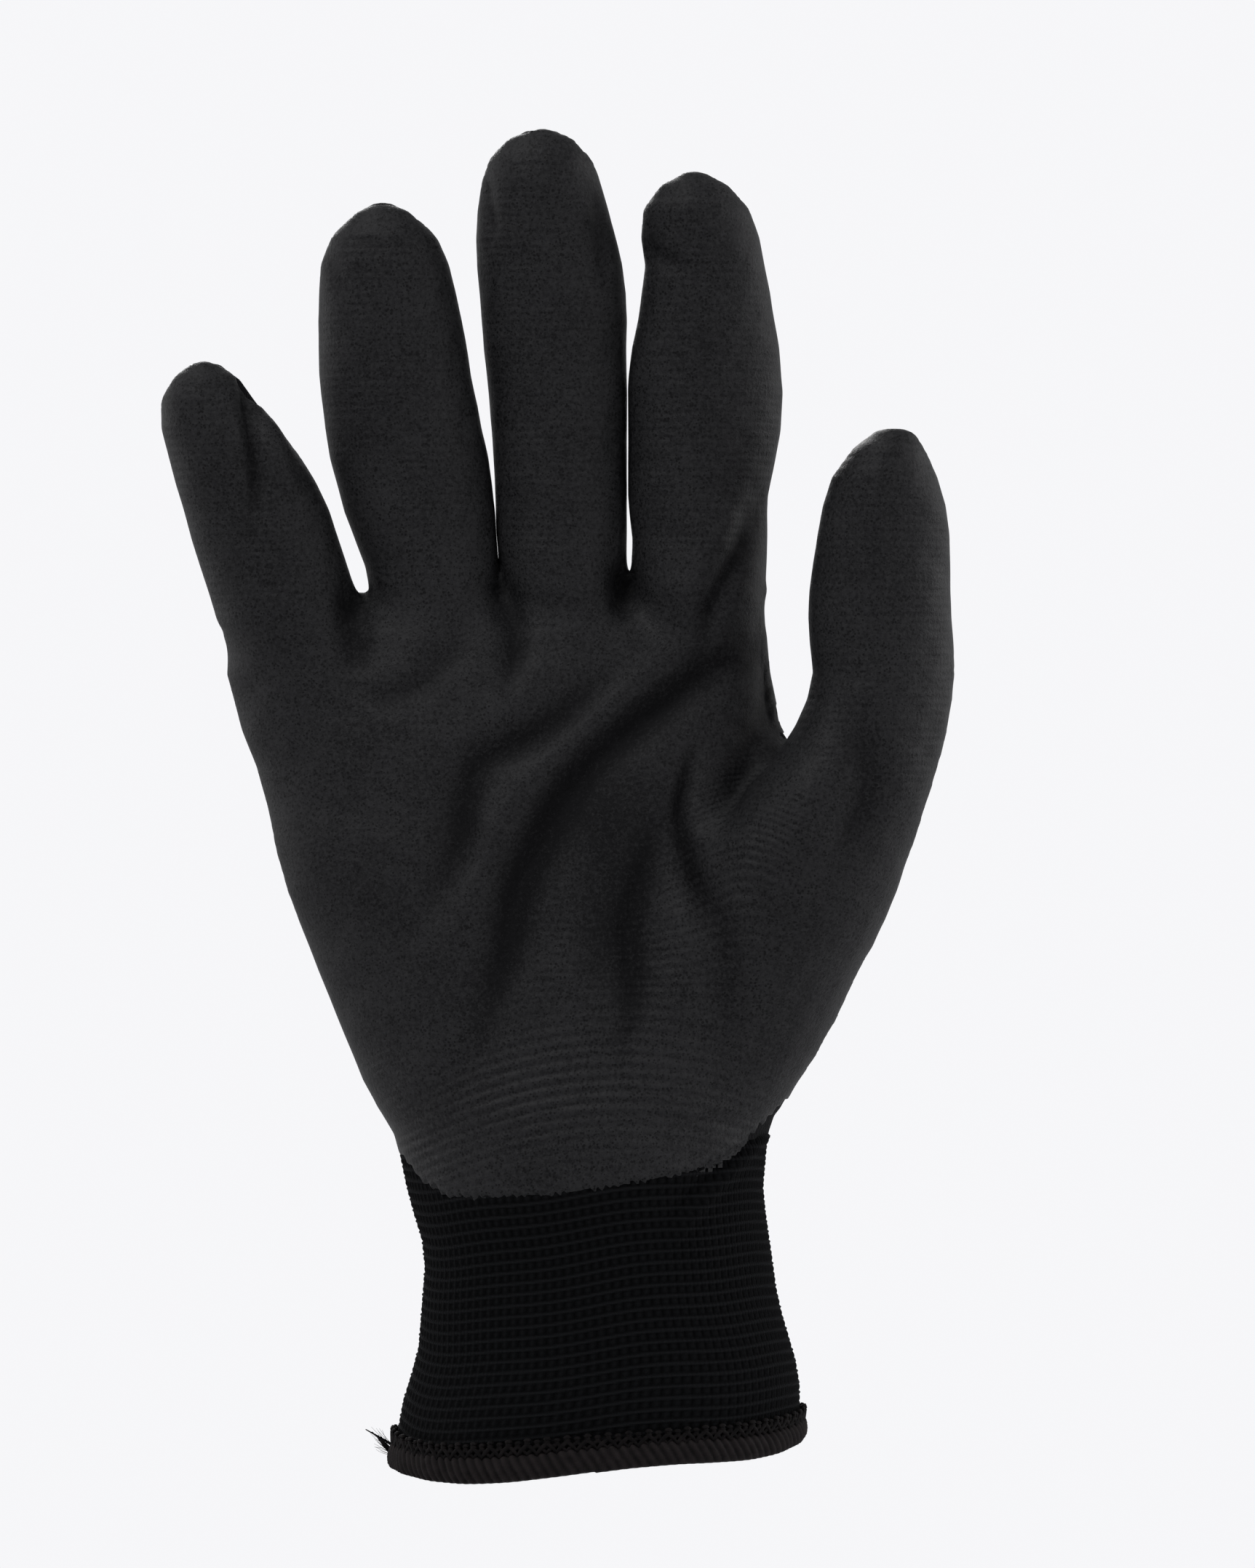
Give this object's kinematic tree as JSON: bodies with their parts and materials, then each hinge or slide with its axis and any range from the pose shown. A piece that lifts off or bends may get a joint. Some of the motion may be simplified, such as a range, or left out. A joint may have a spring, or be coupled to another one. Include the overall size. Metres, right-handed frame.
{
  "type": "cut resistant work glove",
  "caption": "Close-fitting knitted work glove for the right hand, with a coated palm and fingertips, a ribbed elastic cuff and stalls that fold at the finger joints.",
  "frame": {"origin": "centre of the wrist opening, in the plane of the hem", "axes": "+Z from the wrist to the fingertips, -Y out of the palm, +X towards the thumb"},
  "size_m": [0.1438, 0.0537, 0.2505],
  "materials": {
    "liner": "fine knitted, matte",
    "coating": "foam, matte with fine pores",
    "laminate": "foam over knit, matte",
    "cuff_knit": "ribbed knit, matte",
    "elastic_yarn": "covered elastic yarn",
    "hem_thread": "overlock thread, slightly shiny"
  },
  "bodies": {
    "hand": {"palm_liner": "liner", "palm_coating": "coating", "cuff": "cuff_knit", "cuff_elastic": "elastic_yarn", "cuff_hem": "hem_thread", "thread_tail": "hem_thread"},
    "index_finger_base": {"index_finger_base_liner": "liner", "index_finger_base_coating": "coating", "index_finger_base_crease": "laminate"},
    "index_finger_mid": {"index_finger_mid_liner": "liner", "index_finger_mid_coating": "coating", "index_finger_mid_crease": "laminate"},
    "index_finger_tip": {"index_finger_tip_liner": "liner", "index_finger_tip_coating": "coating", "index_finger_tip_crease": "laminate"},
    "middle_finger_base": {"middle_finger_base_liner": "liner", "middle_finger_base_coating": "coating", "middle_finger_base_crease": "laminate"},
    "middle_finger_mid": {"middle_finger_mid_liner": "liner", "middle_finger_mid_coating": "coating", "middle_finger_mid_crease": "laminate"},
    "middle_finger_tip": {"middle_finger_tip_liner": "liner", "middle_finger_tip_coating": "coating", "middle_finger_tip_crease": "laminate"},
    "ring_finger_base": {"ring_finger_base_liner": "liner", "ring_finger_base_coating": "coating", "ring_finger_base_crease": "laminate"},
    "ring_finger_mid": {"ring_finger_mid_liner": "liner", "ring_finger_mid_coating": "coating", "ring_finger_mid_crease": "laminate"},
    "ring_finger_tip": {"ring_finger_tip_liner": "liner", "ring_finger_tip_coating": "coating", "ring_finger_tip_crease": "laminate"},
    "little_finger_base": {"little_finger_base_liner": "liner", "little_finger_base_coating": "coating", "little_finger_base_crease": "laminate"},
    "little_finger_mid": {"little_finger_mid_liner": "liner", "little_finger_mid_coating": "coating", "little_finger_mid_crease": "laminate"},
    "little_finger_tip": {"little_finger_tip_liner": "liner", "little_finger_tip_coating": "coating", "little_finger_tip_crease": "laminate"},
    "thumb_base": {"thumb_base_liner": "liner", "thumb_base_coating": "coating", "thumb_base_crease": "laminate"},
    "thumb_tip": {"thumb_tip_liner": "liner", "thumb_tip_coating": "coating", "thumb_tip_crease": "laminate"}
  },
  "joints": [
    {"name": "index_finger_root_bend", "type": "hinge", "parent": "hand", "child": "index_finger_base", "pos_m": [0.0192, -0.00199, 0.17486], "axis": [1, 0, 0], "range_deg": [-5, 60], "stiffness_Nm_per_rad": 0.05, "deforming": ["index_finger_base_crease"]},
    {"name": "index_finger_knuckle_bend", "type": "hinge", "parent": "index_finger_base", "child": "index_finger_mid", "pos_m": [0.0192, -0.00323, 0.19264], "axis": [1, 0, 0], "range_deg": [0, 70], "stiffness_Nm_per_rad": 0.05, "deforming": ["index_finger_mid_crease"]},
    {"name": "index_finger_tip_bend", "type": "hinge", "parent": "index_finger_mid", "child": "index_finger_tip", "pos_m": [0.0192, -0.00679, 0.21519], "axis": [1, 0, 0], "range_deg": [0, 45], "stiffness_Nm_per_rad": 0.05, "deforming": ["index_finger_tip_crease"]},
    {"name": "middle_finger_root_bend", "type": "hinge", "parent": "hand", "child": "middle_finger_base", "pos_m": [-0.00719, -0.001, 0.17489], "axis": [0.9985, 0, 0.0541], "range_deg": [-5, 60], "stiffness_Nm_per_rad": 0.05, "deforming": ["middle_finger_base_crease"]},
    {"name": "middle_finger_knuckle_bend", "type": "hinge", "parent": "middle_finger_base", "child": "middle_finger_mid", "pos_m": [-0.00837, -0.00213, 0.19666], "axis": [0.9985, 0, 0.0541], "range_deg": [0, 70], "stiffness_Nm_per_rad": 0.05, "deforming": ["middle_finger_mid_crease"]},
    {"name": "middle_finger_tip_bend", "type": "hinge", "parent": "middle_finger_mid", "child": "middle_finger_tip", "pos_m": [-0.0097, -0.00558, 0.22121], "axis": [0.9985, 0, 0.0541], "range_deg": [0, 45], "stiffness_Nm_per_rad": 0.05, "deforming": ["middle_finger_tip_crease"]},
    {"name": "ring_finger_root_bend", "type": "hinge", "parent": "hand", "child": "ring_finger_base", "pos_m": [-0.03278, -0.0015, 0.16886], "axis": [0.9925, 0, 0.1219], "range_deg": [-5, 60], "stiffness_Nm_per_rad": 0.05, "deforming": ["ring_finger_base_crease"]},
    {"name": "ring_finger_knuckle_bend", "type": "hinge", "parent": "ring_finger_base", "child": "ring_finger_mid", "pos_m": [-0.03507, -0.0028, 0.1875], "axis": [0.9925, 0, 0.1219], "range_deg": [0, 70], "stiffness_Nm_per_rad": 0.05, "deforming": ["ring_finger_mid_crease"]},
    {"name": "ring_finger_tip_bend", "type": "hinge", "parent": "ring_finger_mid", "child": "ring_finger_tip", "pos_m": [-0.03776, -0.00629, 0.20939], "axis": [0.9925, 0, 0.1219], "range_deg": [0, 45], "stiffness_Nm_per_rad": 0.05, "deforming": ["ring_finger_tip_crease"]},
    {"name": "little_finger_root_bend", "type": "hinge", "parent": "hand", "child": "little_finger_base", "pos_m": [-0.05874, -0.00299, 0.16034], "axis": [0.9489, 0, 0.3156], "range_deg": [-5, 60], "stiffness_Nm_per_rad": 0.05, "deforming": ["little_finger_base_crease"]},
    {"name": "little_finger_knuckle_bend", "type": "hinge", "parent": "little_finger_base", "child": "little_finger_mid", "pos_m": [-0.06294, -0.00415, 0.17293], "axis": [0.9489, 0, 0.3156], "range_deg": [0, 70], "stiffness_Nm_per_rad": 0.05, "deforming": ["little_finger_mid_crease"]},
    {"name": "little_finger_tip_bend", "type": "hinge", "parent": "little_finger_mid", "child": "little_finger_tip", "pos_m": [-0.0677, -0.0068, 0.18725], "axis": [0.9489, 0, 0.3156], "range_deg": [0, 45], "stiffness_Nm_per_rad": 0.05, "deforming": ["little_finger_tip_crease"]},
    {"name": "thumb_root_bend", "type": "hinge", "parent": "hand", "child": "thumb_base", "pos_m": [0.04811, -0.01493, 0.13084], "axis": [0.8715, -0.1853, -0.454], "range_deg": [-3, 10], "stiffness_Nm_per_rad": 0.05, "deforming": ["thumb_base_crease"]},
    {"name": "thumb_tip_bend", "type": "hinge", "parent": "thumb_base", "child": "thumb_tip", "pos_m": [0.04861, -0.01752, 0.16156], "axis": [0.9692, -0.2437, -0.0363], "range_deg": [0, 42], "stiffness_Nm_per_rad": 0.05, "deforming": ["thumb_tip_crease"]}
  ]
}
